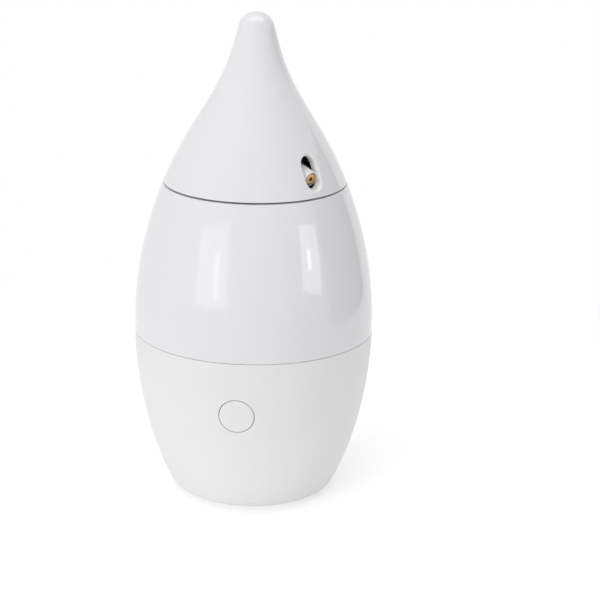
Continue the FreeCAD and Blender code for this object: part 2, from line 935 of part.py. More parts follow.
def pan_gear():
    wheel = gear(module_coarse, pan_teeth, pan_gear_high - pan_gear_low, idler_azimuth)
    wheel.translate(V(0, 0, pan_gear_low))
    boss = rod(pan_boss_r, slip_disc_low + slip_disc_thick, pan_gear_high)
    body = fuse([wheel, boss])
    holes = []
    for index in range(pan_hole_count):
        x, y = around(pan_hole_circle, 360.0 * (index + 0.5) / pan_hole_count)
        holes.append(rod(pan_hole_r, pan_gear_low - over, pan_gear_high + over, x, y))
    return cut_all(body, holes + [flatted(snug, slip_disc_low, pan_gear_high + over)])


def flatted(room, low, high):
    """The spindle's lower section with two flats, grown by some room."""
    flat = spindle_flat + room
    radius = spindle_r + room
    return rod(radius, low, high).common(block(-flat, flat, -radius, radius, low, high))


def idler_gear():
    ix, iy = idler_centre()
    mx, my = motor_centre()
    towards_pan = idler_azimuth + 180.0
    towards_motor = math.degrees(math.atan2(my - iy, mx - ix))
    wheel = gear(module_fine, idler_large_teeth, idler_wheel_thick, towards_motor)
    wheel.translate(V(0, 0, idler_wheel_low))
    low = idler_wheel_low + idler_wheel_thick
    phase = towards_pan + 180.0 / idler_small_teeth
    pinion = gear(module_coarse, idler_small_teeth, idler_pinion_high - low, phase)
    pinion.translate(V(0, 0, low))
    boss = rod(idler_boss_r, gear_plate_high + thrust_gap, idler_wheel_low)
    body = fuse([wheel, pinion, boss])
    body = body.cut(rod(idler_pin_r + running_clearance, gear_plate_low, idler_pinion_high + over))
    body.translate(V(ix, iy, 0))
    return body


def idler_pin():
    ix, iy = idler_centre()
    pin = rod(idler_pin_r, gear_plate_low, idler_pin_high, ix, iy)
    return round_edges(pin, edge_round, lambda edge: edge.BoundBox.ZMin > idler_pin_high - 0.1)


def motor_pinion():
    ix, iy = idler_centre()
    mx, my = motor_centre()
    towards_idler = math.degrees(math.atan2(iy - my, ix - mx))
    phase = towards_idler + 180.0 / motor_teeth
    pinion = gear(module_fine, motor_teeth, motor_pinion_high - motor_pinion_low, phase)
    pinion.translate(V(0, 0, motor_pinion_low))
    pinion = pinion.cut(rod(motor_shaft_r, gear_plate_low, motor_pinion_high + over))
    pinion.translate(V(mx, my, 0))
    return pinion


def motor_shaft():
    mx, my = motor_centre()
    return rod(motor_shaft_r, motor_low_z + motor_cap_length / 2.0, motor_pinion_high + shaft_end, mx, my)


def pan_motor():
    """Can with two flats, a front boss and a bore for the shaft."""
    mx, my = motor_centre()
    can = rod(motor_r, motor_low_z + motor_cap_length, gear_plate_low, 0, 0)
    flat = motor_r * motor_flat_share
    can = can.common(block(-motor_r, motor_r, -flat, flat, motor_low_z, gear_plate_low))
    boss = rod(motor_boss_r, gear_plate_low, gear_plate_low + motor_boss_height)
    can = fuse([can, boss])
    can = can.cut(rod(motor_shaft_r + running_clearance, motor_low_z, gear_plate_high))
    for dx in (-motor_screw_offset, motor_screw_offset):
        pilot = motor_bite + pilot_extra
        can = can.cut(rod(small_thread_r, gear_plate_low - pilot, gear_plate_low + over, dx, 0))
    can.translate(V(mx, my, 0))
    return can


def motor_end_cap():
    mx, my = motor_centre()
    flat = motor_r * motor_flat_share
    cap = rod(motor_r, motor_low_z, motor_low_z + motor_cap_length)
    cap = cap.common(block(-motor_r, motor_r, -flat, flat, motor_low_z, gear_plate_low))
    cap = fuse([cap, rod(motor_tail_r, motor_low_z - motor_tail_height, motor_low_z)])
    cap = cap.cut(rod(motor_shaft_r + running_clearance, motor_low_z, gear_plate_low))
    cap.translate(V(mx, my, 0))
    return cap


def motor_screws():
    mx, my = motor_centre()
    screws = []
    for dx in (-motor_screw_offset, motor_screw_offset):
        length = gear_plate_thick + motor_bite
        screws.append(screw_down(small_thread_r, motor_head_r, gear_plate_high, length, mx + dx, my))
    return Part.makeCompound(screws)


def slip_ring_disc():
    low = slip_disc_low
    disc = rod(slip_disc_r, low, low + slip_disc_thick)
    return disc.cut(flatted(snug, low - over, low + slip_disc_thick + over))


def slip_rings():
    rings = []
    half = slip_ring_width / 2.0
    for radius in slip_ring_radii:
        rings.append(tube(radius + half, radius - half, slip_disc_low - slip_ring_thick, slip_disc_low))
    return Part.makeCompound(rings)


def retaining_clip():
    high = slip_disc_low - snug
    low = high - clip_thick
    ring = tube(clip_r, clip_groove_r + snug, low, high)
    return ring.cut(block(0.0, clip_r + over, -clip_mouth, clip_mouth, low - over, high + over))


def brush_block():
    high = gear_plate_high + brush_block_thick
    body = block(brush_near, brush_far, -brush_half, brush_half, gear_plate_high, high)
    return round_edges(body, edge_round, lambda edge: edge.BoundBox.ZMin > high - 0.1)


def brushes():
    """Three leaf springs that reach in to the rings."""
    low = gear_plate_high + brush_block_thick
    tip = slip_disc_low - slip_ring_thick - brush_gap
    foot = brush_near + brush_tip
    heel = brush_far - 2.0 * brush_tip
    leaves = []
    for index in range(len(slip_ring_radii)):
        y = brush_pitch * (index - 1)
        x = math.sqrt(slip_ring_radii[index] ** 2 - y * y)
        under = [V(heel, 0, low), V(foot, 0, low), V(x + brush_tip, 0, tip - brush_thick),
                 V(x, 0, tip - brush_thick)]
        above = [V(x, 0, tip), V(x + brush_tip, 0, tip), V(foot, 0, low + brush_thick),
                 V(heel, 0, low + brush_thick)]
        wire = Part.makePolygon(under + above + [under[0]])
        leaf = Part.Face(wire).extrude(V(0, brush_width, 0))
        leaf.translate(V(0, y - brush_width / 2.0, 0))
        leaves.append(leaf)
    return Part.makeCompound(leaves)


# ---------------------------------------------------------------- head

def slot_shape(grow, near, far):
    """Stadium across the slot, extruded along the slots' +X."""
    half = slot_width / 2.0 + grow
    low = slot_low_z + slot_width / 2.0
    high = slot_high_z - slot_width / 2.0
    start = [V(near, -half, low), V(near, 0, low - half), V(near, half, low)]
    end = [V(near, half, high), V(near, 0, high + half), V(near, -half, high)]
    edges = [Part.Arc(start[0], start[1], start[2]).toShape(), Part.makeLine(start[2], end[0]),
             Part.Arc(end[0], end[1], end[2]).toShape(), Part.makeLine(end[2], start[0])]
    return Part.Face(Part.Wire(edges)).extrude(V(far - near, 0, 0))


def slot_collar():
    """Collar round a slot: it follows the slanted shell and ends at one depth behind it."""
    far = STATIONS[3][1]
    solid = slot_shape(slot_wall, 0.0, far).common(outer_form)
    behind = outer_form.copy()
    behind.translate(V(-slot_depth, 0, 0))
    return solid.cut(behind)


def head_boss_places():
    turn = slot_turn
    angles = (head_boss_angle, 180.0 - head_boss_angle, 180.0 + head_boss_angle, 360.0 - head_boss_angle)
    return [around(head_boss_circle, angle + turn) for angle in angles]


def head_cover():
    shell = outer_form.cut(inner_form).common(slab(head_low_z, tip_z + over))
    collar = slot_collar()
    collars = [to_slots(collar), to_slots(mirrored(collar))]
    bosses = []
    for x, y in head_boss_places():
        bosses.append(rod(head_boss_r, head_boss_low, head_boss_high, x, y).common(outer_form))
    body = fuse([shell] + collars + bosses)
    opening = slot_shape(0.0, pivot_r + sleeve_r, far_out)
    cuts = [to_slots(opening), to_slots(mirrored(opening))]
    for x, y in head_boss_places():
        pilot = head_bite + pilot_extra
        cuts.append(rod(small_thread_r, head_boss_low - over, head_boss_low + pilot, x, y))
    body = cut_all(body, cuts)
    rim = side_radius(head_low_z, 0.0)
    body = round_edges(body, edge_round, lambda edge: rim_edge(edge, rim, head_low_z))
    return round_edges(body, slot_round, slot_outer_edge)


def slot_outer_edge(edge):
    """True for the edges where the slots meet the outer surface."""
    box = edge.BoundBox
    if box.ZMin < slot_low_z - 0.5 or box.ZMax > slot_high_z + 0.5:
        return False
    if box.ZLength < 1.0:
        return False
    for share in (0.25, 0.5, 0.75):
        span = edge.LastParameter - edge.FirstParameter
        point = edge.valueAt(edge.FirstParameter + span * share)
        if abs(math.hypot(point.x, point.y) - side_radius(point.z, 0.0)) > 0.05:
            return False
    return True


def turntable():
    """Disc that closes the head from below, with the hollow spindle it turns on."""
    disc = rod(disc_r, disc_low_z, disc_high)
    spindle = rod(spindle_r, pan_gear_high + snug, disc_high)
    lower = flatted(0.0, spindle_low_z, disc_low_z)
    parts = [disc, spindle, lower]
    for x, y in head_boss_places():
        parts.append(rod(pad_r, disc_low_z, head_boss_low, x, y))
    for u, v in corners(frame_screw_u, frame_screw_v):
        parts.append(to_slots(rod(frame_boss_r, disc_low_z - frame_boss_height, disc_high, u, v)))
    body = fuse(parts)
    cuts = [rod(spindle_bore_r, spindle_low_z - over, disc_high + over)]
    groove_low = slip_disc_low - 2.0 * snug - clip_thick
    cuts.append(tube(spindle_r + over, clip_groove_r, groove_low, slip_disc_low))
    for x, y in head_boss_places():
        cuts.append(rod(small_head_r + 2.0 * clearance_hole, 0.0, head_seat, x, y))
        cuts.append(rod(small_thread_r + clearance_hole, 0.0, head_boss_low + over, x, y))
    for u, v in corners(frame_screw_u, frame_screw_v):
        low = frame_top - frame_plate_thick - frame_bite - pilot_extra / 2.0
        cuts.append(to_slots(rod(small_thread_r, low, disc_high + over, u, v)))
    for u in (-head_board_screw_u, head_board_screw_u):
        cuts.append(to_slots(rod(small_thread_r, 0.0, disc_high + over, u, head_board_v)))
    return cut_all(body, cuts)


def head_screws():
    screws = []
    for x, y in head_boss_places():
        length = head_boss_low - head_seat + head_bite
        screws.append(screw_up(small_thread_r, small_head_r, head_seat, length, x, y))
    return Part.makeCompound(screws)


def lug(u, near, far):
    """Upright ear round a tilt pin."""
    ear = rod_y(lug_r, near, far, u, pivot_z)
    foot = block(u - lug_r, u + lug_r, near, far, disc_high, pivot_z)
    return ear.fuse(foot)


def motor_place():
    """Axis of the tilt motor in the slots' frame, whole sector teeth up from the meeting line."""
    distance = tilt_module * (sector_teeth + tilt_teeth) / 2.0
    angle = math.radians(180.0 - tilt_motor_step * 360.0 / sector_teeth)
    return pivot_r + distance * math.cos(angle), pivot_z + distance * math.sin(angle)


def tilt_frame():
    """Plate with four ears for the tilt pins and a tower that holds the tilt motor."""
    base = block(-frame_half_u, frame_half_u, -frame_half_v, frame_half_v, disc_high, frame_top)
    base = round_edges(base, frame_corner, upright)
    near_out = -near_cheek - cheek_thick
    tower_out = near_out - cheek_thick
    parts = [base]
    for u in (-pivot_r, pivot_r):
        parts.append(lug(u, near_out, -near_cheek))
        parts.append(lug(u, far_cheek, far_cheek + cheek_thick))
    mu, mz = motor_place()
    tower = block(mu - tower_half, mu + tower_half, tower_out, -near_cheek, disc_high, mz)
    ring = rod_y(tower_half, tower_out, -near_cheek, mu, mz)
    body = fuse(parts + [tower, ring])
    cuts = [rod_y(tilt_motor_r, tower_out - over, -near_cheek + over, mu, mz)]
    for u in (-pivot_r, pivot_r):
        cuts.append(rod_y(tilt_pin_r, -frame_half_v, frame_half_v, u, pivot_z))
    for u, v in corners(frame_screw_u, frame_screw_v):
        cuts.append(rod(small_thread_r + clearance_hole, disc_high - over, frame_top + over, u, v))
    cuts.append(rod(spindle_bore_r, disc_high - over, frame_top + over))
    return to_slots(cut_all(body, cuts))


def frame_screws():
    screws = []
    for u, v in corners(frame_screw_u, frame_screw_v):
        length = frame_plate_thick + frame_bite
        screws.append(to_slots(screw_down(small_thread_r, small_head_r, frame_top, length, u, v)))
    return Part.makeCompound(screws)


def pivot_pins():
    pins = []
    near = -near_cheek - cheek_thick - pin_end
    far = far_cheek + cheek_thick + pin_end
    for u in (-pivot_r, pivot_r):
        pins.append(to_slots(rod_y(tilt_pin_r, near, far, u, pivot_z)))
    return Part.makeCompound(pins)


def tilt_motor():
    mu, mz = motor_place()
    near = tilt_motor_front - tilt_motor_length
    can = rod_y(tilt_motor_r, near, tilt_motor_front, mu, mz)
    can = round_edges(can, tilt_motor_round, lambda edge: edge.BoundBox.YLength < 0.1)
    bore_near = tilt_motor_front - tilt_bore_depth
    bore = rod_y(tilt_shaft_r + running_clearance, bore_near, tilt_motor_front + over, mu, mz)
    return to_slots(can.cut(bore))


def tilt_shaft():
    mu, mz = motor_place()
    far = sector_low_v + sector_thick + shaft_end
    near = tilt_motor_front - tilt_bore_depth + pin_end
    return to_slots(rod_y(tilt_shaft_r, near, far, mu, mz))


def stand_up(shape, u, v, z):
    """Lay a gear drawn in the XY plane into the slots' upright plane, its thickness along +Y."""
    turned = shape.copy()
    turned.rotate(V(0, 0, 0), V(1, 0, 0), 90)
    turned.translate(V(u, v, z))
    return turned


def tilt_pinion():
    mu, mz = motor_place()
    towards_pivot = -tilt_motor_step * 360.0 / sector_teeth
    phase = towards_pivot + 180.0 / tilt_teeth
    pinion = gear(tilt_module, tilt_teeth, sector_thick, phase)
    pinion = pinion.cut(rod(tilt_shaft_r, -over, sector_thick + over))
    return to_slots(stand_up(pinion, mu, sector_low_v + sector_thick, mz))


def along_pointer(shape):
    """Lay a shape drawn along +Z from the pin into the pointer's resting direction."""
    turned = shape.copy()
    turned.rotate(V(0, 0, 0), V(0, 1, 0), 90.0 + rest_tilt)
    turned.translate(V(pivot_r, 0, pivot_z))
    return turned


def laser_holder(phase, low, high):
    """White sleeve, hub and sector gear in one moulding, for the pointer on the slots' +X side."""
    sleeve = rod(sleeve_r, 0.0, face_reach)
    sleeve = round_edges(sleeve, sleeve_round, lambda edge: edge.BoundBox.ZMin > face_reach - 0.1)
    hub = rod_y(hub_r, -near_cheek + side_play, far_cheek - side_play, pivot_r, pivot_z)
    wheel = sector(tilt_module, sector_teeth, sector_thick, phase, low, high)
    wheel = stand_up(wheel, pivot_r, sector_low_v + sector_thick, pivot_z)
    body = fuse([along_pointer(sleeve), hub, wheel])
    back = face_reach - barrel_length
    bore = rod(sleeve_bore_r, back, face_reach + over)
    wires = rod(wire_hole_r, back - wire_hole_depth, face_reach)
    exit_start = V(-far_out, 0, back - wire_hole_depth + wire_hole_r)
    wire_exit = Part.makeCylinder(wire_hole_r, far_out, exit_start, V(1, 0, 0))
    pin = rod_y(tilt_pin_r + running_clearance, -frame_half_v, frame_half_v, pivot_r, pivot_z)
    for tool in (bore, wires, wire_exit):
        body = body.cut(along_pointer(tool))
    return body.cut(pin)


def laser_barrel():
    """Turned brass barrel: a small aperture in its face and a chamber for the lens and diode."""
    back = face_reach - barrel_length
    barrel = rod(barrel_r, back, face_reach)
    barrel = round_edges(barrel, sleeve_round, lambda edge: edge.BoundBox.ZMin > face_reach - 0.1)
    hole = rod(aperture_r, back - over, face_reach + over)
    top = face_reach - aperture_depth
    chamber = rod(lens_r, top - chamber_depth, top)
    return along_pointer(barrel.cut(hole).cut(chamber))


def insulating_ring():
    high = face_reach - ring_inset
    return along_pointer(tube(sleeve_bore_r, barrel_r, face_reach - barrel_length, high))


def laser_lens():
    high = face_reach - aperture_depth
    return along_pointer(rod(lens_r, high - lens_thick, high))


def laser_diode():
    low = face_reach - aperture_depth - chamber_depth
    can = rod(diode_r, low, low + diode_length)
    flange = rod(lens_r, low, low + diode_flange)
    return along_pointer(can.fuse(flange))


def head_board():
    """Driver board on two standoffs of its own, beside the tilt frame."""
    v = head_board_v
    board = block(-head_board_half_u, head_board_half_u, v - head_board_half_v, v + head_board_half_v,
                  board_low_h, board_high_h)
    board = round_edges(board, over, upright)
    for u in (-head_board_screw_u, head_board_screw_u):
        board = board.fuse(rod(head_board_boss_r, disc_high, board_low_h, u, v))
        board = board.cut(rod(small_thread_r + clearance_hole, disc_high - over, board_high_h + over, u, v))
    return to_slots(board)


def head_board_screws():
    length = board_high_h - disc_high + head_board_bite
    screws = []
    for u in (-head_board_screw_u, head_board_screw_u):
        screw = screw_down(small_thread_r, small_head_r, board_high_h, length, u, head_board_v)
        screws.append(to_slots(screw))
    return Part.makeCompound(screws)


def laser_driver():
    low = board_high_h
    v = driver_v
    high = low + driver_height
    body = block(-driver_half_u, driver_half_u, v - driver_half_v, v + driver_half_v, low, high)
    reach = driver_half_v + pad_reach
    legs = []
    for index in range(4):
        u = (index - 1.5) * driver_pitch
        left = u - pad_width / 2.0
        legs.append(block(left, left + pad_width, v - reach, v + reach, low, low + pad_width))
    return to_slots(fuse([body] + legs))


def head_connector():
    low = board_high_h
    v = socket_v
    high = low + socket_height
    shell = block(-socket_half_u, socket_half_u, v - socket_half_v, v + socket_half_v, low, high)
    u_in = socket_half_u - header_wall
    v_in = socket_half_v - header_wall
    hollow = block(-u_in, u_in, v - v_in, v + v_in, low + header_wall, high + over)
    return to_slots(shell.cut(hollow))


def main():
    os.makedirs("parts", exist_ok=True)
    save(base_housing(), "base_housing")
    save(rubber_feet(), "rubber_feet")
    save(housing_screws(), "housing_screws")
    save(battery_door(), "battery_door")
    save(door_screw(), "door_screw")
    save(battery_holder(), "battery_holder")
    save(batteries(), "batteries")
    save(door_contacts(), "door_contacts")
    save(top_contacts(), "top_contacts")
    save(battery_springs(), "battery_springs")
    save(chassis(), "chassis")
    save(main_board(), "main_board")
    save(board_screws(), "board_screws")
    save(tact_switch(), "tact_switch")
    save(switch_plunger(), "switch_plunger")
    save(power_button(), "power_button")
    save(control_chip(), "control_chip")
    save(capacitors(), "capacitors")
    save(connectors(), "connectors")
    save(body_shell(), "body_shell")
    save(plate_screws(), "plate_screws")
    save(pan_bush(), "pan_bush")
    save(pan_gear(), "pan_gear")
    save(idler_gear(), "idler_gear")
    save(idler_pin(), "idler_pin")
    save(motor_pinion(), "motor_pinion")
    save(motor_shaft(), "motor_shaft")
    save(pan_motor(), "pan_motor")
    save(motor_end_cap(), "motor_end_cap")
    save(motor_screws(), "motor_screws")
    save(slip_ring_disc(), "slip_ring_disc")
    save(slip_rings(), "slip_rings")
    save(retaining_clip(), "retaining_clip")
    save(brush_block(), "brush_block")
    save(brushes(), "brushes")
    save(head_cover(), "head_cover")
    save(turntable(), "turntable")
    save(head_screws(), "head_screws")
    save(tilt_frame(), "tilt_frame")
    save(frame_screws(), "frame_screws")
    save(pivot_pins(), "pivot_pins")
    save(tilt_motor(), "tilt_motor")
    save(tilt_shaft(), "tilt_shaft")
    save(tilt_pinion(), "tilt_pinion")
    save(head_board(), "head_board")
    save(head_board_screws(), "head_board_screws")
    save(laser_driver(), "laser_driver")
    save(head_connector(), "head_connector")
    save_pointers()


def save_pointers():
    """The front pointer carries the driven sector; the rear one is its mirror with a gap in mesh."""
    pitch = 360.0 / sector_teeth
    front = laser_holder(180.0, sector_top, sector_bottom)
    rear = laser_holder(180.0 + pitch / 2.0, follower_top, sector_bottom)
    save(to_slots(front), "laser_holder_a")
    save(to_slots(mirrored(rear)), "laser_holder_b")
    pieces = {"laser_barrel": laser_barrel(), "insulating_ring": insulating_ring(),
              "laser_lens": laser_lens(), "laser_diode": laser_diode()}
    for name, shape in pieces.items():
        save(to_slots(shape), name + "_a")
        save(to_slots(mirrored(shape)), name + "_b")


main()
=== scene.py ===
import math

import bmesh
import bpy
import numpy as np
from mathutils import Matrix, Vector


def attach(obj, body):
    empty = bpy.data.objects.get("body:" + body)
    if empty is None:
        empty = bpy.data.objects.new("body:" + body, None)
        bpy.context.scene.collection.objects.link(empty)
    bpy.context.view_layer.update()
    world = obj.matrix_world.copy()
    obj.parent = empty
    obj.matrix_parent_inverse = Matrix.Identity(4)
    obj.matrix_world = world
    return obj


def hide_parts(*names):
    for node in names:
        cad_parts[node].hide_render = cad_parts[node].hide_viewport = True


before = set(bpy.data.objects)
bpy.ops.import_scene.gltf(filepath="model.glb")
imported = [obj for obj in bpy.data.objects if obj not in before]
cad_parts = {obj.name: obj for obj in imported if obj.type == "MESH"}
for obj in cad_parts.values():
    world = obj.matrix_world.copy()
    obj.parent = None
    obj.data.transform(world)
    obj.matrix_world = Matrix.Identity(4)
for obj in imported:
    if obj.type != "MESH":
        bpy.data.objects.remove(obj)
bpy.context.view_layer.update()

MM = 0.001

# ---------------------------------------------------------------------------------------------
# The studio: a camera at product height, a white sweep, softboxes at the left, at the right and
# above, and a grey card. The floor is seen as white, and keeps the toy's contact shadow.
camera_distance = 795.56 * MM
camera_height = 335.98 * MM
camera_azimuth = math.radians(7.97)
camera_roll = math.radians(0.998)
aim_height = 110.0 * MM
aim_right = 20.2 * MM
aim_down = 23.35 * MM

camera_data = bpy.data.cameras.new("camera")
camera_data.sensor_width = 36.0
camera_data.lens = 113.2
camera = bpy.data.objects.new("camera", camera_data)
bpy.context.scene.collection.objects.link(camera)
camera_place = Vector((camera_distance * math.sin(camera_azimuth),
                       -camera_distance * math.cos(camera_azimuth), camera_height))
sight = Vector((0, 0, aim_height)) - camera_place
to_right = sight.cross(Vector((0, 0, 1))).normalized()
to_top = to_right.cross(sight).normalized()
aim = Vector((0, 0, aim_height)) + to_right * aim_right - to_top * aim_down
look = (aim - camera_place).to_track_quat("-Z", "Y").to_matrix().to_4x4()
tilted = Matrix.Rotation(camera_roll, 4, "Z")
camera.matrix_world = Matrix.Translation(camera_place) @ look @ tilted
bpy.context.scene.camera = camera
bpy.context.scene.view_settings.view_transform = "Standard"


def linear(colour):
    """sRGB hex value to the linear colour that a shader takes."""
    parts = [int(colour[i:i + 2], 16) / 255.0 for i in (1, 3, 5)]
    out = [p / 12.92 if p <= 0.04045 else ((p + 0.055) / 1.055) ** 2.4 for p in parts]
    return (out[0], out[1], out[2], 1.0)


def add(tree, kind, links=None, **settings):
    """Adds a node, sets its inputs and properties by name, and links {input: output socket}."""
    made = tree.nodes.new("ShaderNode" + kind)
    for name, value in settings.items():
        words = name.replace("_", " ")
        socket = made.inputs.get(words.title()) or made.inputs.get(words)
        if hasattr(made, name):
            setattr(made, name, value)
        else:
            socket.default_value = value
    for name, source in (links or {}).items():
        tree.links.new(source, made.inputs[name])
    return made


def white_for_eyes(tree, plain, seen):
    """Mixes a plain shader with white light that only the camera, gloss and glass see."""
    path = add(tree, "LightPath")
    first = add(tree, "Math",
                {0: path.outputs["Is Camera Ray"], 1: path.outputs["Is Glossy Ray"]},
                operation="MAXIMUM")
    either = add(tree, "Math", {0: first.outputs[0], 1: path.outputs["Is Transmission Ray"]},
                 operation="MAXIMUM")
    return add(tree, "MixShader", {0: either.outputs[0], 1: plain, 2: seen})


world = bpy.data.worlds.new("sweep")
world.use_nodes = True
world.node_tree.nodes.clear()
dim = add(world.node_tree, "Background", Color=linear("#ffffff"), Strength=0.39)
bright = add(world.node_tree, "Background", Color=linear("#ffffff"), Strength=1.0)
mixed = white_for_eyes(world.node_tree, dim.outputs[0], bright.outputs[0])
add(world.node_tree, "OutputWorld", {"Surface": mixed.outputs[0]})
bpy.context.scene.world = world


def softbox(name, azimuth, elevation, distance, width, height, brightness, roll=0.0):
    """Rectangular lamp that faces the toy's middle. Its azimuth starts at the camera's side, its
    angles are in degrees and its lengths in metres."""
    data = bpy.data.lights.new(name, "AREA")
    data.shape = "RECTANGLE"
    data.size = width
    data.size_y = height
    data.energy = brightness * math.pi * width * height
    lamp = bpy.data.objects.new(name, data)
    bpy.context.scene.collection.objects.link(lamp)
    turn = math.radians(azimuth) + camera_azimuth
    rise = math.radians(elevation)
    middle = Vector((0, 0, aim_height))
    way = Vector((math.sin(turn) * math.cos(rise), -math.cos(turn) * math.cos(rise),
                  math.sin(rise)))
    place = middle + way * distance
    face = (-way).to_track_quat("-Z", "Y").to_matrix().to_4x4()
    rolled = Matrix.Rotation(math.radians(roll), 4, "Z")
    lamp.matrix_world = Matrix.Translation(place) @ face @ rolled
    return lamp


softbox("left_softbox", azimuth=-40.5, elevation=-2.0, distance=1.3, width=0.74, height=1.09,
        brightness=1.33, roll=10.0)
softbox("top_softbox", azimuth=6.0, elevation=83.0, distance=1.4, width=1.9, height=0.8,
        brightness=2.1)
# The wall at the left only bounces light: gloss doesn't show it.
left_wall = softbox("left_wall", azimuth=-37.0, elevation=1.0, distance=1.6, width=2.0,
                    height=1.5, brightness=0.9)
left_wall.visible_glossy = False
# The right softbox and a bulb behind the cloth of each side box are dim, and show in gloss alone.
right_softbox = softbox("right_softbox", azimuth=59.0, elevation=8.2, distance=1.4, width=0.5,
                        height=0.49, brightness=2.4, roll=-10.0)
left_bulb = softbox("left_bulb", azimuth=-37.0, elevation=5.0, distance=1.29, width=0.14,
                    height=0.34, brightness=1.6, roll=10.0)
right_bulb = softbox("right_bulb", azimuth=57.5, elevation=8.5, distance=1.39, width=0.1,
                     height=0.14, brightness=4.4, roll=-10.0)
for lamp in (right_softbox, left_bulb, right_bulb):
    lamp.visible_diffuse = False

floor_mesh = bpy.data.meshes.new("floor")
sweep = bmesh.new()
bmesh.ops.create_grid(sweep, x_segments=2, y_segments=2, size=4.0)
sweep.to_mesh(floor_mesh)
sweep.free()
floor = bpy.data.objects.new("floor", floor_mesh)
bpy.context.scene.collection.objects.link(floor)
paper = bpy.data.materials.new("white_sweep_paper")
paper.use_nodes = True
paper.node_tree.nodes.clear()
matt = add(paper.node_tree, "BsdfDiffuse", Color=linear("#f4f4f4"), Roughness=1.0)
lit_below = add(paper.node_tree, "Emission", Color=linear("#ffffff"), Strength=0.22)
both = add(paper.node_tree, "AddShader", {0: matt.outputs[0], 1: lit_below.outputs[0]})
# Near the toy the eye sees the lit paper, a little lifted, so that only the soft shadow is grey.
# From near_paper to far_paper, in metres from the toy's axis, it fades to even white.
near_paper = 0.14
far_paper = 0.34
lift = add(paper.node_tree, "Emission", Color=linear("#ffffff"), Strength=0.14)
lifted = add(paper.node_tree, "AddShader", {0: both.outputs[0], 1: lift.outputs[0]})
glow = add(paper.node_tree, "Emission", Color=linear("#ffffff"), Strength=1.0)
spot = add(paper.node_tree, "TexCoord")
away = add(paper.node_tree, "VectorMath", {0: spot.outputs["Object"]}, operation="LENGTH")
far = add(paper.node_tree, "MapRange", {"Value": away.outputs["Value"]},
          From_Min=near_paper, From_Max=far_paper)
seen = add(paper.node_tree, "MixShader",
           {0: far.outputs[0], 1: lifted.outputs[0], 2: glow.outputs[0]})
mixed = white_for_eyes(paper.node_tree, both.outputs[0], seen.outputs[0])
# From below the paper is clear, so that the underside can be looked at through it.
side = add(paper.node_tree, "NewGeometry")
clear = add(paper.node_tree, "BsdfTransparent")
one_sided = add(paper.node_tree, "MixShader",
                {0: side.outputs["Backfacing"], 1: mixed.outputs[0], 2: clear.outputs[0]})
add(paper.node_tree, "OutputMaterial", {"Surface": one_sided.outputs[0]})
floor_mesh.materials.append(paper)

# A grey card stands close at the right. Only gloss shows it: it gives the right side its depth.
card_azimuth = math.radians(100.0) + camera_azimuth
card_distance = 0.4
card_width = 0.42
card_low = 0.002
card_high = 0.3
card_shape = bmesh.new()
side_way = Vector((math.cos(card_azimuth), math.sin(card_azimuth), 0.0)) * card_width / 2.0
card_middle = Vector((math.sin(card_azimuth), -math.cos(card_azimuth), 0.0)) * card_distance
card_foot = card_middle + Vector((0, 0, card_low))
card_ends = [card_shape.verts.new(card_foot + side_way * end) for end in (-1.0, 1.0)]
low_edge = card_shape.edges.new(card_ends)
bmesh.ops.extrude_edge_only(card_shape, edges=[low_edge])
bmesh.ops.translate(card_shape, vec=(0, 0, card_high - card_low),
                    verts=[v for v in card_shape.verts if v not in card_ends])
card_mesh = bpy.data.meshes.new("grey_card")
card_shape.to_mesh(card_mesh)
card_shape.free()
card = bpy.data.objects.new("grey_card", card_mesh)
bpy.context.scene.collection.objects.link(card)
card_paper = bpy.data.materials.new("grey_card_paper")
card_paper.use_nodes = True
card_paper.node_tree.nodes.clear()
dull = add(card_paper.node_tree, "Emission", Color=linear("#8c8c8c"), Strength=1.0)
add(card_paper.node_tree, "OutputMaterial", {"Surface": dull.outputs[0]})
card_mesh.materials.append(card_paper)
card.visible_camera = False
card.visible_diffuse = False
card.visible_shadow = False
card.visible_transmission = False


# ---------------------------------------------------------------------------------------------
# Lower base: the satin half of the shell, injection moulded in white ABS in one piece with its
# foot columns. Its mould was spark-eroded, which leaves a fine even matt.
# Heights and radii of the toy's side, in millimetres. The leans are those of its two ends.
STATIONS = [(4.2, 36.9), (20.0, 43.5), (45.0, 49.85), (77.0, 52.5), (107.0, 49.55),
            (137.0, 40.8), (155.0, 32.5), (173.0, 21.75), (191.0, 12.5), (207.0, 7.68)]
foot_lean = math.radians(26.8)
tip_lean = math.radians(15.0)
tip_z = 212.93
tip_fullness = 0.62
tip_breadth = 0.52
foot_steps = 10
side_steps = 190
tip_steps = 24
row_room = 0.25
wall = 2.2
foot_proud = 0.8
base_top = 73.32
seam_gap = 0.2
edge_round = 0.3


def clamped_spline(points, start, end):
    """Smooth curve through the stations with given end directions, as a function of length."""
    points = np.array(points, float)
    steps = np.linalg.norm(np.diff(points, axis=0), axis=1)
    knots = np.concatenate([[0.0], np.cumsum(steps)])
    count = len(points)
    matrix = np.zeros((count, count))
    right = np.zeros((count, 2))
    matrix[0, 0] = matrix[-1, -1] = 1.0
    right[0] = start
    right[-1] = end
    for i in range(1, count - 1):
        before = steps[i - 1]
        after = steps[i]
        matrix[i, i - 1:i + 2] = (after, 2.0 * (before + after), before)
        fore = (points[i + 1] - points[i]) / after
        back = (points[i] - points[i - 1]) / before
        right[i] = 3.0 * (after * back + before * fore)
    slopes = np.linalg.solve(matrix, right)

    def at(length):
        i = min(int(np.searchsorted(knots, length, side="right")) - 1, count - 2)
        i = max(i, 0)
        h = steps[i]
        t = (length - knots[i]) / h
        rise = (points[i] * (2 * t ** 3 - 3 * t ** 2 + 1)
                + points[i + 1] * (3 * t ** 2 - 2 * t ** 3))
        return rise + h * (slopes[i] * (t ** 3 - 2 * t ** 2 + t)
                           + slopes[i + 1] * (t ** 3 - t ** 2))
    return at, knots[-1]


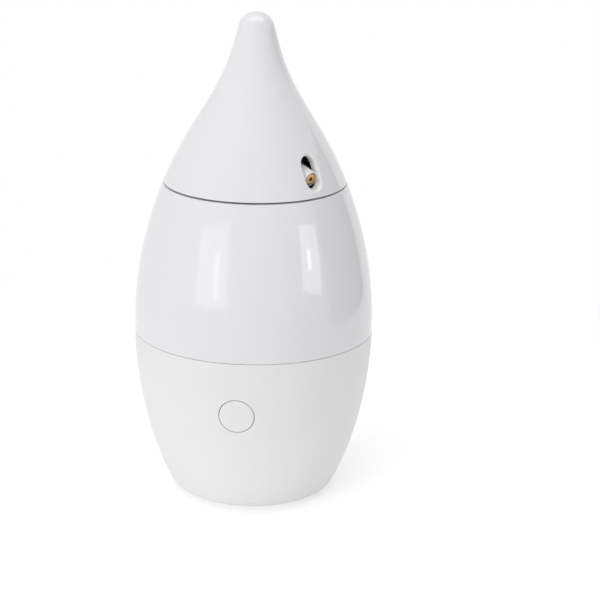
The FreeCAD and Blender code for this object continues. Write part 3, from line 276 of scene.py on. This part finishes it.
side_at, side_length = clamped_spline([(r, z) for z, r in STATIONS],
                                      (math.sin(foot_lean), math.cos(foot_lean)),
                                      (-math.sin(tip_lean), math.cos(tip_lean)))


def outline():
    """Outer profile as (radius, height) from the axis at the bottom to the tip, finely spaced."""
    low_r, low_z = side_at(0.0)
    corner = (low_z - foot_proud) / (1.0 - math.sin(foot_lean))
    centre = (low_r - corner * math.cos(foot_lean), low_z + corner * math.sin(foot_lean))
    points = []
    for share in np.linspace(0.0, 1.0, foot_steps)[:-1]:
        angle = -math.pi / 2 + share * (math.pi / 2 - foot_lean)
        points.append((centre[0] + corner * math.cos(angle),
                       centre[1] + corner * math.sin(angle)))
    for length in np.linspace(0.0, side_length, side_steps):
        points.append(tuple(side_at(length)))
    high_r, high_z = side_at(side_length)
    reach = (tip_z - high_z) * tip_fullness
    poles = np.array([(high_r, high_z),
                      (high_r - math.sin(tip_lean) * reach, high_z + math.cos(tip_lean) * reach),
                      (high_r * tip_breadth, tip_z), (0.0, tip_z)])
    for t in np.linspace(0.0, 1.0, tip_steps)[1:]:
        weights = ((1 - t) ** 3, 3 * t * (1 - t) ** 2, 3 * t * t * (1 - t), t ** 3)
        points.append(tuple(sum(w * p for w, p in zip(weights, poles))))
    return np.array(points)


OUTLINE = outline()
steps = np.gradient(OUTLINE, axis=0)
leans = steps / np.linalg.norm(steps, axis=1)[:, None]


def radius_at(z):
    """Outer radius at a height in millimetres."""
    return float(np.interp(z, OUTLINE[:, 1], OUTLINE[:, 0]))


def outward_at(z):
    """Outward direction of the side at a height, as (radial, upward)."""
    along_r = float(np.interp(z, OUTLINE[:, 1], leans[:, 0]))
    along_z = float(np.interp(z, OUTLINE[:, 1], leans[:, 1]))
    size = math.hypot(along_r, along_z)
    return along_z / size, -along_r / size


def stretch(low, high, inset):
    """Profile points between two heights, moved inwards along their normals."""
    rows = [z for r, z in OUTLINE if low + row_room < z < high - row_room]
    points = []
    for z in [low] + rows + [high]:
        out_r, out_z = outward_at(z)
        points.append((max(radius_at(z) - out_r * inset, 0.0), z - out_z * inset))
    return points


def corner_arc(at_point, from_way, to_way, radius, count=5):
    """Rounds the corner between two unit directions: in along one, out along the other."""
    start = (at_point[0] - from_way[0] * radius, at_point[1] - from_way[1] * radius)
    end = (at_point[0] + to_way[0] * radius, at_point[1] + to_way[1] * radius)
    points = []
    for t in np.linspace(0.0, 1.0, count):
        a, b, c = (1 - t) ** 2, 2 * t * (1 - t), t * t
        points.append((a * start[0] + b * at_point[0] + c * end[0],
                       a * start[1] + b * at_point[1] + c * end[1]))
    return points


# Points of a drawing that are closer than this, in millimetres, are one point.
weld = 0.0005


def finish_mesh(name, made):
    """Turns a bmesh drawn in millimetres into an object in metres at the origin."""
    bmesh.ops.remove_doubles(made, verts=made.verts, dist=weld)
    bmesh.ops.recalc_face_normals(made, faces=made.faces)
    bmesh.ops.scale(made, vec=(MM, MM, MM), verts=made.verts)
    mesh = bpy.data.meshes.new(name)
    for face in made.faces:
        face.smooth = True
    made.to_mesh(mesh)
    made.free()
    piece = bpy.data.objects.new(name, mesh)
    bpy.context.scene.collection.objects.link(piece)
    return piece


def turned(points, closed, around=192):
    """Spins a profile of (radius, height) about the upright axis."""
    made = bmesh.new()
    verts = [made.verts.new((r, 0.0, z)) for r, z in points]
    edges = [made.edges.new(pair) for pair in zip(verts, verts[1:])]
    if closed:
        edges.append(made.edges.new((verts[-1], verts[0])))
    bmesh.ops.spin(made, geom=verts + edges, cent=(0, 0, 0), axis=(0, 0, 1), angle=2.0 * math.pi,
                   steps=around, use_merge=True)
    bmesh.ops.remove_doubles(made, verts=made.verts, dist=weld)
    return made


def cut_out(piece, cutter):
    """Takes the cutter's volume out of a piece and removes the cutter."""
    boolean = piece.modifiers.new("cut", "BOOLEAN")
    boolean.operation = "DIFFERENCE"
    boolean.solver = "EXACT"
    boolean.object = cutter
    graph = bpy.context.evaluated_depsgraph_get()
    mesh = bpy.data.meshes.new_from_object(piece.evaluated_get(graph))
    piece.modifiers.clear()
    old = piece.data
    piece.data = mesh
    mesh.name = piece.name
    bpy.data.meshes.remove(old)
    cutter_mesh = cutter.data
    bpy.data.objects.remove(cutter)
    bpy.data.meshes.remove(cutter_mesh)


def true_normals(piece, sharp=40.0):
    """Gives the outer surface the form's exact normals, so that gloss runs cleanly past cuts."""
    near_axis = 0.5
    skin_depth = 0.03
    same_way = 0.9
    mesh = piece.data
    mesh.set_sharp_from_angle(angle=math.radians(sharp))
    normals = [Vector(corner.vector) for corner in mesh.corner_normals]
    for face in mesh.polygons:
        for corner in face.loop_indices:
            place = mesh.vertices[mesh.loops[corner].vertex_index].co / MM
            radius = math.hypot(place.x, place.y)
            if radius < near_axis or abs(radius - radius_at(place.z)) > skin_depth:
                continue
            out_r, out_z = outward_at(place.z)
            exact = Vector((out_r * place.x / radius, out_r * place.y / radius, out_z))
            if exact.dot(face.normal) > same_way:
                normals[corner] = exact
    mesh.normals_split_custom_set(normals)


def ring_at(made, points):
    """Closed loop of edges through the points."""
    verts = [made.verts.new(point) for point in points]
    return [made.edges.new(pair) for pair in zip(verts, verts[1:] + verts[:1])]


def skin(made, rings, closed=False):
    """Bridges each ring of points to the next, and the last to the first if it is closed."""
    loops = [ring_at(made, ring) for ring in rings]
    if closed:
        loops.append(loops[0])
    for first, second in zip(loops, loops[1:]):
        bmesh.ops.bridge_loops(made, edges=first + second)


foot_top = foot_proud + 0.3
floor_bend = 3.0
floor_r = 30.0
door_hole_r = 20.4
door_edge = 0.2
rim_step = 0.6
base_profile = stretch(foot_top, base_top - edge_round, 0.0)
base_profile = [(float(r), float(z)) for r, z in OUTLINE if z < foot_top] + base_profile
top_r = radius_at(base_top)
base_profile += corner_arc((top_r, base_top), (0, 1), (-1, 0), edge_round)
inner_top = top_r - wall
base_profile += [(inner_top, base_top)]
base_profile += stretch(foot_proud + wall + floor_bend, base_top - rim_step, wall)[::-1]
base_profile += [(floor_r, foot_proud + wall), (door_hole_r, foot_proud + wall)]
base_profile += corner_arc((door_hole_r, foot_proud), (0, -1), (1, 0), door_edge)
base_housing = finish_mesh("base_shell", turned(base_profile, True))


def plug(name, points_near, points_far):
    """Closed prism between two rings of points, for cutting."""
    made = bmesh.new()
    near = ring_at(made, points_near)
    far = ring_at(made, points_far)
    bmesh.ops.bridge_loops(made, edges=near + far)
    bmesh.ops.contextual_create(made, geom=near)
    bmesh.ops.contextual_create(made, geom=far)
    return finish_mesh(name, made)


button_z = 49.25
button_r = 7.45
button_gap = 0.25
hole_round = 0.35
hole_steps = 72
# Each hole's points lie half a step off the shell's own meridians, so that cuts stay clean.
half_step = math.pi / hole_steps
hole_front = -60.0
hole_back = -40.0
guide_back = -42.9
guide_wall = 1.4
round_steps = 6
foot_circle = 26.2
foot_hole_r = 4.05
foot_hole_steps = 48
foot_hole_low = -5.0
foot_hole_high = 12.0


def round_places(radius):
    """Points (x, z) on a circle round the button's axis."""
    return [(radius * math.cos(a), button_z + radius * math.sin(a))
            for a in half_step + np.linspace(0, 2 * math.pi, hole_steps, endpoint=False)]


def front_y(x, z):
    """Depth of the front surface behind a point (x, z)."""
    return -math.sqrt(max(radius_at(z) ** 2 - x * x, 0.0))


guide_r = button_r + button_gap
wide = guide_r + hole_round
cutter = plug("cutter", [(x, hole_front, z) for x, z in round_places(wide)],
              [(x, hole_back, z) for x, z in round_places(wide)])
cut_out(base_housing, cutter)
for angle in (45, 135, 225, 315):
    x = foot_circle * math.cos(math.radians(angle))
    y = foot_circle * math.sin(math.radians(angle))
    rim = [(x + foot_hole_r * math.cos(a), y + foot_hole_r * math.sin(a))
           for a in half_step + np.linspace(0, 2 * math.pi, foot_hole_steps, endpoint=False)]
    cut_out(base_housing, plug("cutter", [(a, b, foot_hole_low) for a, b in rim],
                               [(a, b, foot_hole_high) for a, b in rim]))
true_normals(base_housing)

# The rounded rim of the button's hole and the guide behind it.
lip = bmesh.new()
rings = []
for angle in np.linspace(0.0, math.pi / 2, round_steps):
    radius = wide - hole_round * math.sin(angle)
    depth = hole_round * (1.0 - math.cos(angle))
    rings.append([(x, front_y(x, z) + depth, z) for x, z in round_places(radius)])
rings.append([(x, guide_back, z) for x, z in round_places(guide_r)])
rings.append([(x, guide_back, z) for x, z in round_places(guide_r + guide_wall)])
rings.append([(x, front_y(x, z) + wall, z) for x, z in round_places(guide_r + guide_wall)])
skin(lip, rings, closed=True)
button_lip = finish_mesh("button_guide", lip)
true_normals(button_lip)


def plastic(name, colour, rough, grain, bump, shift="#e9e9e9"):
    """Moulded plastic: near-even colour, and a surface whose grain is set in millimetres."""
    flow_size = 35.0
    grain_depth = 0.02
    smoothest = 0.85
    roughest = 1.15
    made = bpy.data.materials.new(name)
    made.use_nodes = True
    tree = made.node_tree
    tree.nodes.clear()
    place = add(tree, "TexCoord")
    flow = add(tree, "TexNoise", {"Vector": place.outputs["Object"]},
               Scale=1.0 / (flow_size * MM), Detail=2.0)
    tint = add(tree, "Mix", {0: flow.outputs["Fac"]}, data_type="RGBA")
    tint.inputs[6].default_value = linear(colour)
    tint.inputs[7].default_value = linear(shift)
    fine = add(tree, "TexNoise", {"Vector": place.outputs["Object"]},
               Scale=1.0 / (grain * MM), Detail=3.0)
    relief = add(tree, "Bump", {"Height": fine.outputs["Fac"]}, Strength=bump,
                 Distance=grain_depth * MM)
    matt = add(tree, "MapRange", {"Value": fine.outputs["Fac"]})
    matt.inputs["To Min"].default_value = rough * smoothest
    matt.inputs["To Max"].default_value = rough * roughest
    skin_shader = add(tree, "BsdfPrincipled",
                      {"Base Color": tint.outputs[2], "Roughness": matt.outputs[0],
                       "Normal": relief.outputs[0]}, IOR=1.52)
    add(tree, "OutputMaterial", {"Surface": skin_shader.outputs[0]})
    return made


def dress(material, *names):
    """Gives CAD nodes a material."""
    for name in names:
        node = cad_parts[name]
        if not node.data.materials:
            node.data.materials.append(material)
        for slot in node.material_slots:
            slot.material = material


def place_piece(piece, material, body, slot, *replaced):
    """Gives a piece its material and body, and hides the CAD nodes it stands for. Its slot is not
    used.
    """
    piece.data.materials.clear()
    piece.data.materials.append(material)
    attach(piece, body)
    if replaced:
        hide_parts(*replaced)


# Satin white ABS, moulded: soft broad highlight and a faint even grain.
satin_abs = plastic("satin_white_abs_moulded", "#f0f0f0",
                    rough=0.42, grain=0.35, bump=0.25, shift="#eeeeee")
place_piece(base_housing, satin_abs, "base", "satin_white_plastic", "base_housing")
place_piece(button_lip, satin_abs, "base", "satin_white_plastic")
dress(satin_abs, "battery_door")

# ---------------------------------------------------------------------------------------------
# Power button: the same satin ABS, flush with the wall it sits in, with a hair of air round it.
# Behind its face are a flange, which stops it in the guide, and a short stem.
button_edge = 0.3
centre_r = 0.05
face_rings = 14
flange_r = 8.9
flange_front = -42.8
flange_back = -41.8
stem_r = 2.2
stem_end = -40.0
touch = 0.01
button = bmesh.new()
rings = []
for radius in np.linspace(centre_r, button_r - button_edge, face_rings):
    rings.append([(x, front_y(x, z), z) for x, z in round_places(radius)])
for angle in np.linspace(0.0, math.pi / 2, round_steps)[1:]:
    radius = button_r - button_edge + button_edge * math.sin(angle)
    depth = button_edge * (1.0 - math.cos(angle))
    rings.append([(x, front_y(x, z) + depth, z) for x, z in round_places(radius)])
for depth, radius in ((flange_front, button_r), (flange_front, flange_r),
                      (flange_back, flange_r), (flange_back, stem_r), (stem_end, stem_r)):
    rings.append([(x, depth, z) for x, z in round_places(radius)])
skin(button, rings)
for radius_end, y_end in ((centre_r, None), (stem_r, stem_end)):
    near = [v for v in button.verts
            if abs(math.hypot(v.co.x, v.co.z - button_z) - radius_end) < touch
            and (y_end is None or abs(v.co.y - y_end) < touch)]
    loop = [e for e in button.edges if e.verts[0] in near and e.verts[1] in near]
    bmesh.ops.contextual_create(button, geom=loop)
power_button = finish_mesh("power_button_cap", button)
true_normals(power_button)
place_piece(power_button, satin_abs, "power_button", "satin_white_plastic", "power_button")

# ---------------------------------------------------------------------------------------------
# Middle shell: gloss white ABS from a polished mould, standing on the base with a hairline seam.
# Its top plate is recessed, and has a round hole for the head's bush.
body_top = 138.98
body_low = base_top + seam_gap
seam_round = 0.2
body_top_lean = (-0.5, 0.87)
rim_wall = wall * 1.15
recess_top = 137.5
plate_high = 136.0
plate_low = 133.4
bush_hole_r = 8.5
body_profile = corner_arc((radius_at(body_low), body_low), (1, 0), (0, 1), seam_round)
body_profile += stretch(body_low + seam_round, body_top - edge_round, 0.0)
body_profile += corner_arc((radius_at(body_top), body_top), body_top_lean, (-1, 0), edge_round)
body_profile += [(radius_at(body_top) - rim_wall, body_top)]
body_profile += stretch(plate_high, recess_top, wall)[::-1]
body_profile += [(bush_hole_r, plate_high), (bush_hole_r, plate_low)]
body_profile += stretch(body_low, plate_low, wall)[::-1]
body_shell = finish_mesh("body_shell_gloss", turned(body_profile, True))
true_normals(body_shell)
# Gloss white ABS from a polished mould: sharp reflections with a slight orange-peel waver.
gloss_abs = plastic("gloss_white_abs_polished", "#eeeef0",
                    rough=0.06, grain=6.0, bump=0.03, shift="#ececef")
place_piece(body_shell, gloss_abs, "base", "gloss_white_plastic", "body_shell")

# ---------------------------------------------------------------------------------------------
# Head cover: the turning teardrop in the same gloss ABS. Two upright slots, each with a rounded
# rim and a collar behind it, are moulded in opposite each other.
head_gap = 0.76
head_low = body_top + head_gap
head_low_lean = (-0.49, 0.87)
side_end = 207.0
tip_start = 207.3
inner_low = 1.2
inner_end = 205.0
inner_smallest = 0.4
dome_share = 0.6
dome_drop = 1.0
head_profile = corner_arc((radius_at(head_low), head_low), (1, 0), head_low_lean, edge_round)
head_profile += [(float(r), float(z)) for r, z in stretch(head_low + edge_round, side_end, 0.0)]
head_profile += [(float(r), float(z)) for r, z in OUTLINE if z > tip_start]
inner = [p for p in stretch(head_low + inner_low, inner_end, wall) if p[0] > inner_smallest]
head_profile += [(0.0, tip_z - wall), (inner[-1][0] * dome_share, tip_z - wall - dome_drop)]
head_profile += inner[::-1]
head_profile += [(radius_at(head_low) - rim_wall, head_low)]
head_made = turned(head_profile, False)
loose = [e for e in head_made.edges if len(e.link_faces) == 1]
bmesh.ops.bridge_loops(head_made, edges=loose)
head_cover = finish_mesh("head_cover_gloss", head_made)

# The near slot sits 50.45 degrees round from the button's front. Angles here start at +X.
slot_azimuth = math.radians(50.45 - 90.0)
slot_low = 142.8
slot_high = 156.0
slot_half = 3.75
slot_round = 1.5
slot_depth = 3.8
slot_wall = 1.0
slot_round_steps = 9
slot_end_steps = 20
slot_side_steps = 8
slot_cut_inner = 18.0
slot_cut_outer = 60.0


def stadium(grow):
    """Outline of a slot, grown by an amount, as (across, height)."""
    low = slot_low + slot_half
    high = slot_high - slot_half
    size = slot_half + grow
    points = []
    for a in np.linspace(0.0, math.pi, slot_end_steps):
        points.append((size * math.cos(a), high + size * math.sin(a)))
    for share in np.linspace(0.0, 1.0, slot_side_steps)[1:-1]:
        points.append((-size, high + (low - high) * share))
    for a in np.linspace(math.pi, 2 * math.pi, slot_end_steps):
        points.append((size * math.cos(a), low + size * math.sin(a)))
    for share in np.linspace(0.0, 1.0, slot_side_steps)[1:-1]:
        points.append((size, low + (high - low) * share))
    return points


def surface_u(v, z):
    """Distance of the outer surface from the axis plane, at a place (across, height) of a slot."""
    return math.sqrt(max(radius_at(z) ** 2 - v * v, 0.0))


def slot_frame(made, turn):
    """Turns what was drawn with the slot along +X to a slot's azimuth."""
    bmesh.ops.rotate(made, cent=(0, 0, 0), matrix=Matrix.Rotation(turn, 3, "Z"), verts=made.verts)


collars = []
for index, turn in enumerate((slot_azimuth, slot_azimuth + math.pi)):
    tool = bmesh.new()
    near = ring_at(tool, [(slot_cut_inner, v, z) for v, z in stadium(slot_round)])
    far = ring_at(tool, [(slot_cut_outer, v, z) for v, z in stadium(slot_round)])
    bmesh.ops.bridge_loops(tool, edges=near + far)
    bmesh.ops.contextual_create(tool, geom=near)
    bmesh.ops.contextual_create(tool, geom=far)
    slot_frame(tool, turn)
    cut_out(head_cover, finish_mesh("cutter", tool))
    collar = bmesh.new()
    rings = []
    for angle in np.linspace(0.0, math.pi / 2, slot_round_steps):
        grow = slot_round * (1.0 - math.sin(angle))
        depth = slot_round * (1.0 - math.cos(angle))
        rings.append([(surface_u(v, z) - depth, v, z) for v, z in stadium(grow)])
    rings.append([(surface_u(v, z) - slot_depth, v, z) for v, z in stadium(0.0)])
    rings.append([(surface_u(v, z) - slot_depth, v, z) for v, z in stadium(slot_wall)])
    rings.append([(surface_u(v, z) - wall, v, z) for v, z in stadium(slot_wall)])
    skin(collar, rings, closed=True)
    slot_frame(collar, turn)
    collars.append(finish_mesh("slot_collar_" + "ab"[index], collar))
true_normals(head_cover)
place_piece(head_cover, gloss_abs, "head", "gloss_white_plastic", "head_cover")
for collar in collars:
    true_normals(collar)
    place_piece(collar, gloss_abs, "head", "gloss_white_plastic")

# ---------------------------------------------------------------------------------------------
# Laser pointers: white sleeves with their sector gears, turned brass barrels, black shrink
# sleeves, glass lenses and gold-flashed diodes.
# White acetal, moulded: slightly warm and waxy, with a soft highlight.
sleeve_acetal = plastic("white_acetal_moulded", "#eeeeea",
                        rough=0.34, grain=0.5, bump=0.12)
dress(sleeve_acetal, "laser_holder_a", "laser_holder_b", "idler_gear", "pan_gear", "pan_bush")


def metal(name, colour, rough, grain, bump):
    """Bare metal with fine tool marks, their spacing in millimetres."""
    mark_depth = 0.02
    smoothest = 0.8
    roughest = 1.25
    made = bpy.data.materials.new(name)
    made.use_nodes = True
    tree = made.node_tree
    tree.nodes.clear()
    place = add(tree, "TexCoord")
    marks = add(tree, "TexNoise", {"Vector": place.outputs["Object"]},
                Scale=1.0 / (grain * MM), Detail=2.0)
    relief = add(tree, "Bump", {"Height": marks.outputs["Fac"]}, Strength=bump,
                 Distance=mark_depth * MM)
    matt = add(tree, "MapRange", {"Value": marks.outputs["Fac"]})
    matt.inputs["To Min"].default_value = rough * smoothest
    matt.inputs["To Max"].default_value = rough * roughest
    bare = add(tree, "BsdfPrincipled", {"Roughness": matt.outputs[0], "Normal": relief.outputs[0]},
               Metallic=1.0)
    bare.inputs["Base Color"].default_value = linear(colour)
    add(tree, "OutputMaterial", {"Surface": bare.outputs[0]})
    return made


# Brass, turned: warm yellow with fine rings from the lathe.
turned_brass = metal("brass_turned", "#d9b36a",
                     rough=0.32, grain=0.3, bump=0.2)
dress(turned_brass, "laser_barrel_a", "laser_barrel_b", "motor_pinion", "tilt_pinion")
# Copper alloy, rolled: reddish with a soft drag grain.
rolled_copper = metal("copper_rolled", "#d08a63",
                      rough=0.28, grain=0.4, bump=0.1)
dress(rolled_copper, "slip_rings", "brushes")
# Steel, zinc plated: cool grey with slight cloudiness.
zinc_steel = metal("steel_zinc_plated", "#b9bcc0",
                   rough=0.36, grain=0.6, bump=0.15)
dress(zinc_steel, "housing_screws", "door_screw", "board_screws", "plate_screws", "motor_screws",
      "head_screws", "frame_screws", "head_board_screws")
# Steel, ground: bright grey with fine lengthwise lines.
ground_steel = metal("steel_ground", "#c3c4c6",
                     rough=0.22, grain=0.2, bump=0.1)
dress(ground_steel, "idler_pin", "motor_shaft", "tilt_shaft", "pivot_pins", "retaining_clip")
# Steel, drawn and nickel plated: even soft grey.
drawn_steel = metal("steel_drawn_nickel_plated", "#b3b3b1",
                    rough=0.3, grain=0.8, bump=0.1)
dress(drawn_steel, "pan_motor", "tilt_motor", "battery_springs", "door_contacts", "top_contacts")
# Aluminium, drawn: pale and slightly blue.
drawn_aluminium = metal("aluminium_drawn", "#c9cbce",
                        rough=0.3, grain=0.8, bump=0.1)
dress(drawn_aluminium, "capacitors")
# Gold flash over steel: pale yellow, bright.
gold_flash = metal("gold_flashed_steel", "#d8bf86",
                   rough=0.25, grain=0.4, bump=0.1)
dress(gold_flash, "laser_diode_a", "laser_diode_b")
# Polyolefin shrink sleeve: matt black with a soft sheen.
shrink_sleeve = plastic("black_polyolefin_shrunk", "#121212",
                        rough=0.55, grain=0.4, bump=0.2, shift="#161616")
dress(shrink_sleeve, "insulating_ring_a", "insulating_ring_b")

# Optical glass, moulded: clear, with a ripple too slight to see on its own.
ripple_size = 2.0
ripple_depth = 0.01
lens_glass = bpy.data.materials.new("glass_moulded_lens")
lens_glass.use_nodes = True
tree = lens_glass.node_tree
tree.nodes.clear()
place = add(tree, "TexCoord")
ripple = add(tree, "TexNoise", {"Vector": place.outputs["Object"]},
             Scale=1.0 / (ripple_size * MM), Detail=1.0)
relief = add(tree, "Bump", {"Height": ripple.outputs["Fac"]}, Strength=0.02,
             Distance=ripple_depth * MM)
glass = add(tree, "BsdfPrincipled", {"Normal": relief.outputs[0]}, Roughness=0.03, IOR=1.52)
glass.inputs["Base Color"].default_value = linear("#f2f6fa")
glass.inputs["Transmission Weight"].default_value = 1.0
add(tree, "OutputMaterial", {"Surface": glass.outputs[0]})
dress(lens_glass, "laser_lens_a", "laser_lens_b")

# ---------------------------------------------------------------------------------------------
# Inner mouldings and electrics: frame parts, boards, cells and feet. The feet are seen from
# below, and nearly all the rest is hidden inside the closed shells.
# Grey ABS, moulded: the turntable, the tilt frame and the chassis.
grey_abs = plastic("grey_abs_moulded", "#9a9ca0",
                   rough=0.45, grain=0.4, bump=0.2, shift="#949699")
dress(grey_abs, "chassis", "turntable", "tilt_frame")
# Black ABS, moulded: battery holder, brush block and switch.
black_abs = plastic("black_abs_moulded", "#1d1d1f",
                    rough=0.5, grain=0.4, bump=0.25, shift="#222224")
dress(black_abs, "battery_holder", "brush_block", "tact_switch", "switch_plunger")
# Epoxy moulding compound: dull near-black.
epoxy = plastic("black_epoxy_moulded", "#161616",
                rough=0.6, grain=0.25, bump=0.2, shift="#1b1b1b")
dress(epoxy, "control_chip", "laser_driver")
# Natural nylon, moulded: translucent-looking cream.
nylon = plastic("natural_nylon_moulded", "#e6e1d2",
                rough=0.4, grain=0.5, bump=0.15, shift="#ded9c9")
dress(nylon, "connectors", "head_connector", "motor_end_cap")
# Solder mask over glass epoxy: green, satin, with the weave just showing.
solder_mask = plastic("green_solder_mask", "#1f6a41",
                      rough=0.3, grain=0.6, bump=0.3, shift="#1b5f3a")
dress(solder_mask, "main_board", "head_board", "slip_ring_disc")
# Film sleeve of a cell: glossy dark grey.
cell_film = plastic("dark_film_sleeve", "#2b2d33",
                    rough=0.22, grain=1.5, bump=0.05, shift="#303238")
dress(cell_film, "batteries")
# Thermoplastic rubber, moulded: dull grey, slightly dusty.
foot_rubber = plastic("grey_rubber_moulded", "#4a4b4d",
                      rough=0.8, grain=0.5, bump=0.4, shift="#525355")
dress(foot_rubber, "rubber_feet")
